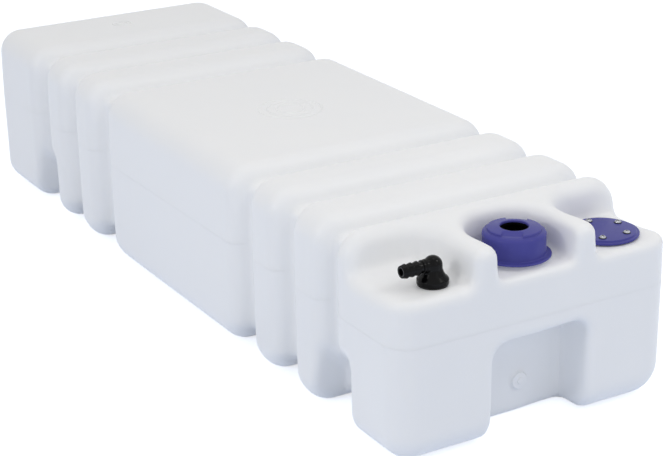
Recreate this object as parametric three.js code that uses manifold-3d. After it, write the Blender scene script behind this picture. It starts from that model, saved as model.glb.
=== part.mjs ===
// Long ribbed water tank for a camper or boat, lying flat, with its fittings at one end.
// Millimetres, +Z up, fittings towards -Y. The origin is the centre of the tank's footprint.
import * as THREE from 'three';
import { mergeVertices } from 'three/addons/utils/BufferGeometryUtils.js';
import Module from 'manifold-3d';

const wasm = await Module();
wasm.setup();

// Tank body
const tankLength = 1370;
const tankWidth = 445;
const tankHeight = 284;
const wall = 5;
const edgeRadius = 42; // long edges
const endRadius = 38; // edges round the front and rear faces
const leastCornerRadius = 5;
const partingHeight = 170;
const draftAngle = 0.6; // degrees, sides lean in above and below the parting line

// Blocks and grooves, counted from the front; the centre block takes what is left
const frontBlockLength = 152;
const frontGrooveWidth = 48;
const ribLength = 66;
const ribGrooveWidth = 55;
const rearGrooveWidth = 68;
const endGrooveWidth = 60;
const endBlockLength = 181;
const grooveDepth = 31;
const grooveWallAngle = 13; // degrees from square
const blockEdgeRadius = 16;
const grooveFloorRadius = 9;
const undersideGrooveDepth = 34;
const undersideEdgeRadius = 31;
const undersideSetback = 16; // front of each block and rib at the underside

// Steps that hold the fittings, cut into the top of the front block
const padHeight = 230;
const padRear = 118;
const fillerPadRear = 113;
const padCornerRadius = 45;
const fillerPadCornerRadius = 50;
const padFloorRadius = 8;
const padEdgeRadius = 14;
const padRollRadius = 18;
const padSideRadius = 24; // upright edge where the wall behind a pad meets the tank's side
const padDraft = 5; // degrees

// Least spaces across the top of the front block; a wider tank shares out what is left
const leastElbowMargin = 20; // from the left side to the elbow's base
const leastElbowGap = 10; // from the elbow's base to the left ridge
const leastRidgeWidth = 20;
const leastCollarGap = 7; // from a ridge to the collar's flange
const coverGap = 11.5; // from the right ridge to the cover
const leastCoverMargin = 19; // from the cover to the right side
const slackShares = {
  elbowMargin: 0.44134, elbowGap: 0.06704, leftRidge: 0.21229,
  leftCollarGap: 0.07821, rightRidge: 0.15642, coverMargin: 0.0447,
};

// Recess under the fittings, open in front and below
const recessLeft = -72;
const recessRight = 79;
const recessTop = 148;
const recessDepth = 62;
const recessCornerRadius = 44;
const recessFloorRadius = 14;
const recessEdgeRadius = 13;
const recessUnderRadius = 24; // round the recess at the underside
const recessDraft = 4; // degrees

// Hand holds in the lower sides, one pair at each end
const handHoldTop = 118;
const handHoldDepth = 60;
const handHoldCornerRadius = 16;
const handHoldFloorRadius = 12;
const handHoldEdgeRadius = 6;
const handHoldDraft = 3; // degrees
const handHoldRoofSlope = 1; // fall of the roof for each length inwards
const handHoldSplay = 9; // degrees, the rear wall leans back towards the underside
const frontHandHoldBite = 34; // how far it reaches into the front block
const rearHandHoldBite = 22; // how far it reaches into the last rib

// Moulded boss for a drain, left undrilled
const drainX = 8;
const drainHeight = 50;
const drainRadius = 12;
const drainThickness = 4;
const drainPipRadius = 4.5;
const drainPipHeight = 1.5;

// Filler neck and the parts on it
const fillerFromFront = 60;
const neckRadius = 38;
const neckBore = 31;
const neckRise = 31.2; // above the pad
const neckLandRadius = 45;
const neckLandHeight = 5.5;
const sealThickness = 2;
const sleeveFlangeThickness = 3;
const sleeveRadius = 18.6;
const sleeveBore = 15.2;
const sleeveLipBore = 13.6;
const sleeveLipThickness = 2.2;
const sleeveLipEdge = 0.8;
const sleeveLipSink = 1.6; // below the rim of the collar
const sleeveDrop = 46; // below its flange
const collarFlangeRadius = 50;
const collarFlangeThickness = 3;
const collarBodyRadius = 42.6;
const collarBore = 39;
const collarShoulderRadius = 7;
const collarRingRadius = 36;
const collarRingHeight = 3; // raised ring on top of the shoulder
const collarRingEdge = 0.8;
const collarCrown = 2.4; // the top rises this much from the ring's edge to the hole
const collarTopThickness = 2.4; // at the ring's foot
const collarHoleRadius = 19;
const collarNotchWidth = 28;
const collarNotchStart = 24; // from the filler's axis
const collarNotchAngle = 49; // degrees from +X; the second notch is opposite

// Hose elbow and the parts that hold it
const elbowFromFront = 41;
const elbowBaseRadius = 21;
const elbowBaseThickness = 6.8;
const elbowBellHeight = 14; // from the base disc to the straight body
const bellShares = [[1, 0], [0.8, 0.16], [0.48, 0.34], [0.22, 0.62], [0.06, 1]]; // outward, upward
const elbowBaseEdge = 1;
const elbowBodyRadius = 12;
const elbowAxisHeight = 26.5; // hose axis above the base
const elbowBore = 4.8;
const shankRadius = 10.4;
const shankLength = 26; // below the base
const shankSocketRadius = 7.4;
const shankSocketDepth = 15;
const hoseEndReach = 48;
const hoseStemRadius = 6.9;
const barbRadius = 8.3;
const barbLength = 8.8;
const barbCount = 3;
const barbTipRadius = 6.9;
const barbStep = 0.8; // length of the steep rear side of a barb
const hoseCollarRadius = 8.8;
const hoseCollarWidth = 3;
const hoseCollarReach = 17.5;
const washerRadius = 20;
const washerBore = 11.2;
const outerWasherThickness = 1.8;
const innerWasherThickness = 1.8;
const backnutRadius = 21;
const backnutHubRadius = 16.5;
const backnutFlangeThickness = 3;
const backnutHeight = 10;
const backnutWings = 6;
const wingWidth = 4;
const suctionTubeRadius = 7;
const suctionTubeBore = 5;
const suctionFloorGap = 16; // tube end above the tank's floor
const strainerRadius = 11;
const strainerWall = 1.6;
const strainerHeight = 30;
const strainerSlots = 8;
const strainerSlotWidth = 2.4;
const strainerFloorGap = 5;

// Inspection cover and the parts that hold it
const coverFromFront = 64.5;
const coverRadius = 49.5;
const coverRimThickness = 3;
const coverRimWidth = 4.5;
const coverThickness = 5;
const coverEdge = 1;
const gasketThickness = 1.8;
const gasketRadius = 44;
const inspectionHoleRadius = 25.5;
const backingRingOuter = 42;
const backingRingInner = 27;
const backingRingThickness = 4;
const screwCircleRadius = 33.5;
const screwCount = 5;
const firstScrewAngle = 14.7; // degrees from +X
const screwRadius = 2.4;
const screwClearance = 0.5;
const screwHeadRadius = 4.7;
const screwHeadHeight = 3;
const screwHeadEdge = 1;
const screwCrossWidth = 1.1;
const screwCrossLength = 5.2;
const screwCrossDepth = 1.6;
const screwWasherRadius = 5.4;
const screwWasherThickness = 0.8;
const screwPast = 3; // how far a screw stands out below the backing ring

// Running clearances
const seatGap = 0.3; // between parts that rest on or pass through each other
const cutOverrun = 60; // how far a cutter runs past the surface it opens
const cornerSteps = 3;
const filletSteps = 3;
const innerSteps = 2;
const innerPocketSteps = 1;
const roundSegments = 28;
const fittingSegments = 24;
const smallSegments = 10;

const degrees = Math.PI / 180;
const quarterTurn = Math.PI / 2;

// Places worked out from the sizes above
const frontY = -tankLength / 2;
const fillerY = frontY + fillerFromFront;
const elbowY = frontY + elbowFromFront;
const coverY = frontY + coverFromFront;
const padUnderside = padHeight - wall;
const fittingsWidth = 2 * (elbowBaseRadius + collarFlangeRadius + coverRadius);
const leastSpaces = leastElbowMargin + leastElbowGap + 2 * (leastRidgeWidth + leastCollarGap)
  + coverGap + leastCoverMargin;
const slack = tankWidth - fittingsWidth - leastSpaces;
const coverX = tankWidth / 2 - leastCoverMargin - slack * slackShares.coverMargin - coverRadius;
const rightRidgeRight = coverX - coverRadius - coverGap;
const rightRidgeLeft = rightRidgeRight - leastRidgeWidth - slack * slackShares.rightRidge;
const fillerX = rightRidgeLeft - leastCollarGap - collarFlangeRadius;
const leftRidgeRight = fillerX - collarFlangeRadius - leastCollarGap - slack * slackShares.leftCollarGap;
const leftRidgeLeft = leftRidgeRight - leastRidgeWidth - slack * slackShares.leftRidge;
const elbowX = leftRidgeLeft - leastElbowGap - slack * slackShares.elbowGap - elbowBaseRadius;

// A three.js geometry as a closed solid, with its faces pointing out
function solidOf(geometry) {
  const plain = geometry.clone();
  for (const name of Object.keys(plain.attributes)) {
    if (name !== 'position') plain.deleteAttribute(name);
  }
  const merged = mergeVertices(plain);
  const position = merged.attributes.position;
  const index = merged.index.array;
  const triangles = [];
  let volume = 0;
  const a = new THREE.Vector3();
  const b = new THREE.Vector3();
  const c = new THREE.Vector3();
  for (let i = 0; i < index.length; i += 3) {
    const [p, q, r] = [index[i], index[i + 1], index[i + 2]];
    if (p === q || q === r || r === p) continue;
    triangles.push([p, q, r]);
    a.fromBufferAttribute(position, p);
    b.fromBufferAttribute(position, q);
    c.fromBufferAttribute(position, r);
    volume += a.dot(b.cross(c));
  }
  const outward = volume < 0 ? triangles.map(([p, q, r]) => [p, r, q]) : triangles;
  return new wasm.Manifold(new wasm.Mesh({
    numProp: 3,
    vertProperties: new Float32Array(position.array),
    triVerts: new Uint32Array(outward.flat()),
  }));
}

function namedMesh(name, solid, finish, turn = null) {
  const mesh = solid.getMesh();
  const geometry = new THREE.BufferGeometry();
  geometry.setAttribute('position', new THREE.BufferAttribute(new Float32Array(mesh.vertProperties), 3));
  geometry.setIndex(new THREE.BufferAttribute(new Uint32Array(mesh.triVerts), 1));
  geometry.computeVertexNormals();
  const result = new THREE.Mesh(geometry, new THREE.MeshStandardMaterial(finish));
  result.name = name;
  if (turn) result.rotation.z = turn;
  return result;
}

// Skin over a stack of rings with equal counts of points; the two ends are closed flat
function loft(rings, capOutline = null) {
  const count = rings[0].length;
  const positions = [];
  const indices = [];
  for (const ring of rings) for (const point of ring) positions.push(point.x, point.y, point.z);
  for (let r = 0; r + 1 < rings.length; r += 1) {
    for (let i = 0; i < count; i += 1) {
      const j = (i + 1) % count;
      const [a, b] = [r * count + i, r * count + j];
      const [c, d] = [a + count, b + count];
      indices.push(a, b, d, a, d, c);
    }
  }
  const last = (rings.length - 1) * count;
  if (capOutline) {
    for (const [a, b, c] of THREE.ShapeUtils.triangulateShape(capOutline, [])) {
      indices.push(a, c, b, last + a, last + b, last + c);
    }
  } else {
    for (let i = 1; i + 1 < count; i += 1) {
      indices.push(0, i + 1, i, last, last + i, last + i + 1);
    }
  }
  const geometry = new THREE.BufferGeometry();
  geometry.setAttribute('position', new THREE.Float32BufferAttribute(positions, 3));
  geometry.setIndex(indices);
  return geometry;
}

// Points of a rounded rectangle, all the way round
function roundedOutline(left, right, low, high, radius, steps) {
  const reach = Math.min(radius, (right - left) / 2, (high - low) / 2);
  const centres = [
    [right - reach, low + reach, -1],
    [right - reach, high - reach, 0],
    [left + reach, high - reach, 1],
    [left + reach, low + reach, 2],
  ];
  const points = [];
  for (const [u, v, quarter] of centres) {
    for (let i = 0; i <= steps; i += 1) {
      const angle = (quarter + i / steps) * quarterTurn;
      points.push([u + reach * Math.cos(angle), v + reach * Math.sin(angle)]);
    }
  }
  return points;
}

// A bent line with its corners rounded; each corner is [along, inset, radius, bulge],
// where bulge is 1 on an outer corner and -1 on an inner one
function roundedPath(corners, mostSteps) {
  const path = [];
  corners.forEach(([x, y, radius, bulge], i) => {
    const steps = bulge < 0 ? Math.max(mostSteps - 1, 1) : mostSteps;
    if (!radius || i === 0 || i === corners.length - 1) {
      path.push([x, y]);
      return;
    }
    const corner = new THREE.Vector2(x, y);
    const before = new THREE.Vector2(...corners[i - 1].slice(0, 2)).sub(corner).normalize();
    const after = new THREE.Vector2(...corners[i + 1].slice(0, 2)).sub(corner).normalize();
    const half = Math.acos(THREE.MathUtils.clamp(before.dot(after), -1, 1)) / 2;
    const centre = before.clone().add(after).normalize().multiplyScalar(radius / Math.sin(half)).add(corner);
    const start = before.clone().multiplyScalar(radius / Math.tan(half)).add(corner).sub(centre);
    const end = after.clone().multiplyScalar(radius / Math.tan(half)).add(corner).sub(centre);
    const sweep = Math.atan2(start.cross(end), start.dot(end));
    for (let k = 0; k <= steps; k += 1) {
      const spoke = start.clone().rotateAround(new THREE.Vector2(), (sweep * k) / steps);
      path.push([centre.x + spoke.x, centre.y + spoke.y]);
    }
  });
  return path;
}

// The same bent line moved sideways by a distance, with every radius following it
function movedCorners(corners, distance) {
  const sides = [];
  for (let i = 0; i + 1 < corners.length; i += 1) {
    const from = new THREE.Vector2(corners[i][0], corners[i][1]);
    const along = new THREE.Vector2(corners[i + 1][0], corners[i + 1][1]).sub(from).normalize();
    const normal = new THREE.Vector2(-along.y, along.x);
    sides.push({ point: from.addScaledVector(normal, distance), along });
  }
  return corners.map(([x, y, radius, bulge], i) => {
    if (i === 0 || i === corners.length - 1) {
      const side = i === 0 ? sides[0] : sides[sides.length - 1];
      const end = new THREE.Vector2(x, y).sub(side.point);
      const foot = side.point.clone().addScaledVector(side.along, end.dot(side.along));
      return [foot.x, foot.y, 0, 0];
    }
    const [one, two] = [sides[i - 1], sides[i]];
    const reach = two.point.clone().sub(one.point).cross(two.along) / one.along.cross(two.along);
    const corner = one.point.clone().addScaledVector(one.along, reach);
    return [corner.x, corner.y, Math.max(radius - bulge * distance, leastCornerRadius), bulge];
  });
}

// Where each block of the tank starts and ends, counted from the front face
function blockSpans() {
  const spans = [[0, frontBlockLength]];
  const follow = (gap, length) => {
    const start = spans[spans.length - 1][1] + gap;
    spans.push([start, start + length]);
  };
  const rearStack = [endBlockLength, endGrooveWidth, ribLength, ribGrooveWidth, ribLength, rearGrooveWidth];
  const centreEnd = tankLength - rearStack.reduce((sum, length) => sum + length, 0);
  follow(frontGrooveWidth, ribLength);
  follow(ribGrooveWidth, ribLength);
  follow(ribGrooveWidth, 0);
  spans[spans.length - 1][1] = centreEnd;
  follow(rearGrooveWidth, ribLength);
  follow(ribGrooveWidth, ribLength);
  follow(endGrooveWidth, endBlockLength);
  return spans;
}

// Lengthwise line of the tank's skin: distance from the front face and inset from the outer box
function skinCorners(depth, edge, setback) {
  const lean = depth * Math.tan(grooveWallAngle * degrees);
  const faceInset = endRadius + leastCornerRadius;
  const corners = [[0, faceInset, 0, 0], [0, 0, endRadius, 1]];
  const spans = blockSpans();
  for (let i = 0; i + 1 < spans.length; i += 1) {
    const [start, end] = [spans[i][1], spans[i + 1][0] + setback];
    corners.push([start, 0, edge, 1], [start + lean, depth, grooveFloorRadius, -1]);
    corners.push([end - lean, depth, grooveFloorRadius, -1], [end, 0, edge, 1]);
  }
  corners.push([tankLength, 0, endRadius, 1], [tankLength, faceInset, 0, 0]);
  return corners;
}

// The ribbed body, or the space inside it when it is taken in by the wall
function ribbedBody(inset, steps, ringSteps) {
  const pathOf = (corners) => roundedPath(movedCorners(corners, inset), steps);
  const skin = pathOf(skinCorners(grooveDepth, blockEdgeRadius, 0));
  const underside = pathOf(skinCorners(undersideGrooveDepth, undersideEdgeRadius, undersideSetback));
  const lean = Math.tan(draftAngle * degrees);
  const rings = skin.map(([along, depth], i) => {
    const [underAlong, underDepth] = underside[i];
    const half = tankWidth / 2 - depth;
    const radius = Math.max(edgeRadius - depth, leastCornerRadius);
    const outline = roundedOutline(-half, half, underDepth, tankHeight - depth, radius, ringSteps);
    return outline.map(([x, z]) => {
      const drawnIn = Math.abs(z - partingHeight) * lean * (x / (tankWidth / 2));
      const under = THREE.MathUtils.clamp((underDepth + radius - z) / radius, 0, 1);
      return new THREE.Vector3(x - drawnIn, frontY + THREE.MathUtils.lerp(along, underAlong, under), z);
    });
  });
  return solidOf(loft(rings));
}

// A moulded pocket as a cutter: its mouth is flared, its walls lean and its floor is filleted.
// grow makes the same pocket larger all round, which gives the inner side of its wall.
function pocket(shape, place, grow, steps, outlineSteps) {
  const { left, right, low, high, corner, depth, floorRadius, mouthRadius, draft, fall = 0 } = shape;
  const flare = Math.max(mouthRadius - grow, leastCornerRadius / 2);
  const taper = (depth - mouthRadius) * Math.tan(draft * degrees);
  const profile = [[mouthRadius + taper, -cutOverrun]];
  for (let i = 0; i <= steps; i += 1) {
    const angle = (1 - i / steps) * quarterTurn;
    const out = mouthRadius + taper - flare * Math.cos(angle);
    profile.push([out, mouthRadius - flare * Math.sin(angle)]);
  }
  for (let i = 0; i <= steps; i += 1) {
    const angle = (i / steps) * quarterTurn;
    const round = floorRadius + grow;
    profile.push([round * Math.cos(angle) - floorRadius, depth - floorRadius + round * Math.sin(angle)]);
  }
  const rings = profile.map(([out, level]) => {
    const radius = Math.max(corner + out, leastCornerRadius);
    const roof = high + out - fall * Math.max(level, 0) + grow * (Math.hypot(1, fall) - 1);
    const outline = roundedOutline(left - out, right + out, low - out, roof, radius, outlineSteps);
    return outline.map(([u, v]) => place(u, v, level));
  });
  return solidOf(loft(rings));
}

// Rolls the outer edge of a pad down into the side and front of the tank, along a plan line
function rolledEdge(stations, grow, steps) {
  const roll = padRollRadius - grow;
  const low = padHeight - padRollRadius;
  const section = [new THREE.Vector2(-cutOverrun, low)];
  for (let i = 0; i <= steps; i += 1) {
    const angle = (i / steps) * quarterTurn;
    section.push(new THREE.Vector2(padRollRadius - roll * Math.cos(angle), low + roll * Math.sin(angle)));
  }
  section.push(new THREE.Vector2(padRollRadius, padHeight + cutOverrun));
  section.push(new THREE.Vector2(-cutOverrun, padHeight + cutOverrun));
  const rings = stations.map(([x, y, inX, inY]) => section.map(
    (point) => new THREE.Vector3(x + inX * point.x, y + inY * point.x, point.y),
  ));
  return solidOf(loft(rings, section));
}

// Plan line round an outer corner of the front block, as places with their inward direction
function cornerStations(side, rearY, innerX, steps) {
  const edge = side * tankWidth / 2;
  const centreX = edge - side * endRadius;
  const centreY = frontY + endRadius;
  const stations = [[edge, rearY, -side, 0]];
  for (let i = 0; i <= steps; i += 1) {
    const angle = (i / steps) * quarterTurn;
    const [outX, outY] = [side * Math.cos(angle), -Math.sin(angle)];
    stations.push([centreX + endRadius * outX, centreY + endRadius * outY, -outX, -outY]);
  }
  stations.push([innerX, frontY, 0, 1]);
  return stations;
}

// Rounds the upright edge where the wall behind an outer pad meets the side of the tank
function uprightEdge(side, grow, steps) {
  const centreX = side * (tankWidth / 2 - padSideRadius);
  const centreY = frontY + padRear + padSideRadius;
  const radius = padSideRadius - grow;
  const section = [new THREE.Vector2(centreX + side * (radius + cutOverrun), centreY)];
  for (let i = 0; i <= steps; i += 1) {
    const angle = (i / steps) * quarterTurn;
    section.push(new THREE.Vector2(centreX + side * radius * Math.cos(angle), centreY - radius * Math.sin(angle)));
  }
  section.push(new THREE.Vector2(centreX, centreY - radius - cutOverrun));
  section.push(new THREE.Vector2(centreX + side * (radius + cutOverrun), centreY - radius - cutOverrun));
  if (side < 0) section.reverse(); // the caps need it anticlockwise
  const rings = [padHeight - grow, tankHeight + cutOverrun].map(
    (height) => section.map((point) => new THREE.Vector3(point.x, point.y, height)),
  );
  return solidOf(loft(rings, section));
}

// Everything that is sunk into the body from outside
function sunkenShapes(grow, steps, outlineSteps) {
  const farLeft = -tankWidth / 2 - tankWidth;
  const farFront = frontY - tankWidth;
  const fromTop = (u, v, level) => new THREE.Vector3(u, v, tankHeight - level);
  const padDepth = tankHeight - padHeight;
  const pad = (left, right, rear, corner) => pocket({
    left, right, low: farFront, high: frontY + rear, corner,
    depth: padDepth, floorRadius: padFloorRadius, mouthRadius: padEdgeRadius, draft: padDraft,
  }, fromTop, grow, steps, outlineSteps);
  const shapes = [
    pad(farLeft, leftRidgeLeft, padRear, padCornerRadius),
    pad(leftRidgeRight, rightRidgeLeft, fillerPadRear, fillerPadCornerRadius),
    pad(rightRidgeRight, -farLeft, padRear, padCornerRadius),
    rolledEdge(cornerStations(-1, frontY + padRear, leftRidgeLeft, outlineSteps), grow, steps),
    rolledEdge([[leftRidgeRight, frontY, 0, 1], [rightRidgeLeft, frontY, 0, 1]], grow, steps),
    rolledEdge(cornerStations(1, frontY + padRear, rightRidgeRight, outlineSteps), grow, steps),
    uprightEdge(-1, grow, outlineSteps),
    uprightEdge(1, grow, outlineSteps),
    pocket({
      left: recessLeft, right: recessRight, low: -recessTop, high: recessTop, corner: recessCornerRadius,
      depth: recessDepth, floorRadius: recessFloorRadius, mouthRadius: recessEdgeRadius, draft: recessDraft,
    }, (u, v, level) => new THREE.Vector3(u, frontY + level, v), grow, steps, outlineSteps),
    pocket({
      left: recessLeft + seatGap, right: recessRight - seatGap, low: farFront, high: frontY + recessDepth - seatGap,
      corner: recessFloorRadius, depth: recessUnderRadius * 2, floorRadius: recessFloorRadius,
      mouthRadius: recessUnderRadius, draft: 0,
    }, (u, v, level) => new THREE.Vector3(u, v, level), grow, steps, outlineSteps),
  ];
  const spans = blockSpans();
  const frontHold = [spans[0][1] - frontHandHoldBite, spans[1][0]];
  const rearHold = [spans[5][1] - rearHandHoldBite, spans[6][0]];
  const splay = Math.tan(handHoldSplay * degrees);
  for (const side of [-1, 1]) {
    for (const [near, far] of [frontHold, rearHold]) {
      shapes.push(pocket({
        left: near, right: far, low: -handHoldTop, high: handHoldTop, corner: handHoldCornerRadius,
        depth: handHoldDepth, floorRadius: handHoldFloorRadius, mouthRadius: handHoldEdgeRadius,
        draft: handHoldDraft, fall: handHoldRoofSlope,
      }, (u, v, level) => {
        const back = ((handHoldTop - v) * splay * (u - near)) / (far - near);
        return new THREE.Vector3(side * (tankWidth / 2 - level), frontY + u + back, v);
      }, grow, steps, outlineSteps));
    }
  }
  return shapes;
}

// A turned solid from a closed profile of [radius, height], standing on its own axis
function turned(profile, x, y, segments = roundSegments) {
  const points = profile.map(([radius, height]) => new THREE.Vector2(radius, height));
  points.push(points[0].clone());
  const geometry = new THREE.LatheGeometry(points, segments);
  geometry.rotateX(quarterTurn);
  geometry.translate(x, y, 0);
  return solidOf(geometry);
}

function ringProfile(inner, outer, low, high) {
  return [[inner, low], [outer, low], [outer, high], [inner, high]];
}

function discProfile(radius, low, high) {
  return [[0, low], [radius, low], [radius, high], [0, high]];
}

function box(width, depth, height, x, y, z) {
  const geometry = new THREE.BoxGeometry(width, depth, height);
  geometry.translate(x, y, z);
  return solidOf(geometry);
}

// Points on a quarter round from one angle to another, as [radius, height]
function arc(centreRadius, centreHeight, radius, from, to, steps = filletSteps) {
  const points = [];
  for (let i = 0; i <= steps; i += 1) {
    const angle = (from + ((to - from) * i) / steps) * degrees;
    points.push([centreRadius + radius * Math.cos(angle), centreHeight + radius * Math.sin(angle)]);
  }
  return points;
}

function screwPlaces() {
  return Array.from({ length: screwCount }, (_, i) => {
    const angle = (firstScrewAngle + (i * 360) / screwCount) * degrees;
    const reach = screwCircleRadius;
    return [coverX + reach * Math.cos(angle), coverY + reach * Math.sin(angle)];
  });
}

const screwHole = screwRadius + screwClearance;

function tankShell() {
  let outer = ribbedBody(0, filletSteps, cornerSteps);
  for (const shape of sunkenShapes(0, filletSteps, filletSteps)) outer = outer.subtract(shape);
  const neckTop = padHeight + neckRise;
  outer = outer.add(turned([
    [0, padUnderside], [neckLandRadius, padUnderside], [neckLandRadius, padHeight + neckLandHeight],
    [neckRadius, padHeight + neckLandHeight], [neckRadius, neckTop], [0, neckTop],
  ], fillerX, fillerY));
  const boss = new THREE.LatheGeometry([
    new THREE.Vector2(0, -drainPipHeight), new THREE.Vector2(drainPipRadius, -drainPipHeight),
    new THREE.Vector2(drainPipRadius, 0), new THREE.Vector2(drainRadius, 0),
    new THREE.Vector2(drainRadius, drainThickness + wall), new THREE.Vector2(0, drainThickness + wall),
    new THREE.Vector2(0, -drainPipHeight),
  ], fittingSegments);
  boss.translate(drainX, frontY + recessDepth - drainThickness, drainHeight);
  outer = outer.add(solidOf(boss));
  let inner = ribbedBody(wall, innerSteps, innerSteps);
  for (const shape of sunkenShapes(wall, innerPocketSteps, innerSteps)) inner = inner.subtract(shape);
  let shell = outer.subtract(inner);
  shell = shell.subtract(turned(discProfile(neckBore, padHeight - cutOverrun / 2, neckTop + wall), fillerX, fillerY));
  const throughPad = (radius, x, y, segments) => turned(
    discProfile(radius, padUnderside - wall, padHeight + wall), x, y, segments,
  );
  shell = shell.subtract(throughPad(washerBore, elbowX, elbowY));
  shell = shell.subtract(throughPad(inspectionHoleRadius, coverX, coverY));
  for (const [x, y] of screwPlaces()) shell = shell.subtract(throughPad(screwHole, x, y, smallSegments));
  return shell;
}

// Filler parts, from the neck upwards
const sealLow = padHeight + neckRise;
const sleeveFlangeLow = sealLow + sealThickness;
const sleeveTop = sleeveFlangeLow + sleeveFlangeThickness;
const collarTopLow = sleeveTop + seatGap;
const collarRingLow = collarTopLow + collarTopThickness;
const collarRingTop = collarRingLow + collarRingHeight;
const collarRim = collarRingTop + collarCrown;
const collarFlangeLow = padHeight + neckLandHeight + seatGap;

function fillerSeal() {
  return turned(ringProfile(sleeveRadius + seatGap, neckRadius - wall / 2, sealLow, sleeveFlangeLow), fillerX, fillerY);
}

function fillerSleeve() {
  const low = sleeveFlangeLow - sleeveDrop;
  const high = collarRim - sleeveLipSink;
  const flangeReach = neckRadius - seatGap;
  return turned([
    [sleeveBore, low], [sleeveRadius, low], [sleeveRadius, sleeveFlangeLow],
    [flangeReach, sleeveFlangeLow], [flangeReach, sleeveTop], [sleeveRadius, sleeveTop],
    [sleeveRadius, high - sleeveLipEdge], [sleeveRadius - sleeveLipEdge, high],
    [sleeveLipBore + sleeveLipEdge, high], [sleeveLipBore, high - sleeveLipEdge],
    [sleeveLipBore, high - sleeveLipThickness], [sleeveBore, high - sleeveLipThickness * 2],
  ], fillerX, fillerY);
}

function fillerCollar() {
  const shoulder = collarShoulderRadius;
  const flangeEdge = collarFlangeThickness / 2;
  const profile = [
    [collarBore, collarFlangeLow],
    ...arc(collarFlangeRadius - flangeEdge, collarFlangeLow + flangeEdge, flangeEdge, -90, 90),
    [collarBodyRadius + flangeEdge, collarFlangeLow + collarFlangeThickness],
    [collarBodyRadius, collarFlangeLow + collarFlangeThickness + flangeEdge],
    ...arc(collarBodyRadius - shoulder, collarRingLow - shoulder, shoulder, 0, 90),
    [collarRingRadius, collarRingLow],
    ...arc(collarRingRadius - collarRingEdge, collarRingTop - collarRingEdge, collarRingEdge, 0, 90, 1),
    [collarHoleRadius + collarRingEdge, collarRim],
    [collarHoleRadius, collarRim - collarRingEdge],
    [collarHoleRadius, collarTopLow], [collarBore, collarTopLow],
  ];
  let collar = turned(profile, fillerX, fillerY);
  const reach = collarFlangeRadius - collarNotchStart;
  for (const turn of [0, Math.PI]) {
    const notch = new THREE.BoxGeometry(reach, collarNotchWidth, collarRingHeight + collarCrown * 2);
    notch.translate(collarNotchStart + reach / 2, 0, collarRingLow + collarRingHeight / 2 + collarCrown + seatGap);
    notch.rotateZ(collarNotchAngle * degrees + turn);
    notch.translate(fillerX, fillerY, 0);
    collar = collar.subtract(solidOf(notch));
  }
  return collar;
}

// Elbow parts, from the pad upwards and downwards
const elbowLow = padHeight + outerWasherThickness;
const elbowAxis = elbowLow + elbowAxisHeight;
const shankLow = elbowLow - shankLength;
const backnutTop = padUnderside - innerWasherThickness;

function hoseElbow() {
  const bellLow = elbowLow + elbowBaseThickness;
  const bell = bellShares.map(([out, up]) => [
    elbowBodyRadius + (elbowBaseRadius - elbowBodyRadius) * out, bellLow + elbowBellHeight * up,
  ]);
  const base = [
    [0, shankLow], [shankRadius, shankLow], [shankRadius, elbowLow],
    [elbowBaseRadius - elbowBaseEdge, elbowLow], [elbowBaseRadius, elbowLow + elbowBaseEdge],
    ...bell,
    ...arc(0, elbowAxis, elbowBodyRadius, 0, 90, filletSteps * 2),
  ];
  const hose = [[0, 0]];
  hose.push([elbowBodyRadius - hoseCollarWidth, 0], [elbowBodyRadius - hoseCollarWidth, elbowBodyRadius]);
  hose.push([hoseStemRadius, hoseCollarReach - hoseCollarWidth], [hoseCollarRadius, hoseCollarReach - hoseCollarWidth]);
  hose.push([hoseCollarRadius, hoseCollarReach], [hoseStemRadius, hoseCollarReach]);
  for (let i = barbCount; i > 0; i -= 1) {
    const crest = hoseEndReach - i * barbLength + barbStep;
    hose.push([hoseStemRadius, crest - barbStep], [barbRadius, crest]);
    hose.push([barbTipRadius, crest + barbLength - barbStep * 2]);
  }
  hose.push([0, hoseEndReach]);
  const points = hose.map(([radius, reach]) => new THREE.Vector2(radius, reach));
  points.push(points[0].clone());
  const barb = new THREE.LatheGeometry(points, fittingSegments * 2 / 3);
  barb.rotateZ(quarterTurn);
  barb.translate(elbowX, elbowY, elbowAxis);
  const hoseBore = new THREE.CylinderGeometry(elbowBore, elbowBore, hoseEndReach + elbowBore, smallSegments);
  hoseBore.rotateZ(quarterTurn);
  hoseBore.translate(elbowX - (hoseEndReach + elbowBore) / 2, elbowY, elbowAxis);
  return turned(base, elbowX, elbowY, fittingSegments)
    .add(solidOf(barb))
    .subtract(solidOf(hoseBore))
    .subtract(turned(discProfile(elbowBore, shankLow - wall, elbowAxis + elbowBore / 2), elbowX, elbowY, smallSegments))
    .subtract(turned(discProfile(shankSocketRadius, shankLow - wall, shankLow + shankSocketDepth),
      elbowX, elbowY, fittingSegments));
}

function elbowWasher(low, thickness) {
  return turned(ringProfile(washerBore, washerRadius, low, low + thickness), elbowX, elbowY, fittingSegments);
}

function elbowBacknut() {
  const low = backnutTop - backnutHeight;
  let nut = turned([
    [shankRadius + seatGap, low], [backnutHubRadius, low], [backnutHubRadius, backnutTop - backnutFlangeThickness],
    [backnutRadius, backnutTop - backnutFlangeThickness], [backnutRadius, backnutTop],
    [shankRadius + seatGap, backnutTop],
  ], elbowX, elbowY, fittingSegments);
  const reach = backnutRadius - backnutHubRadius + wingWidth / 2;
  for (let i = 0; i < backnutWings; i += 1) {
    const wing = new THREE.BoxGeometry(reach, wingWidth, backnutHeight);
    wing.translate(backnutRadius - reach / 2 - seatGap, 0, low + backnutHeight / 2);
    wing.rotateZ((i * 2 * Math.PI) / backnutWings);
    wing.translate(elbowX, elbowY, 0);
    nut = nut.add(solidOf(wing));
  }
  return nut;
}

function suctionTube() {
  const high = shankLow + shankSocketDepth - seatGap;
  const profile = ringProfile(suctionTubeBore, suctionTubeRadius, wall + suctionFloorGap, high);
  return turned(profile, elbowX, elbowY, fittingSegments);
}

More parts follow.
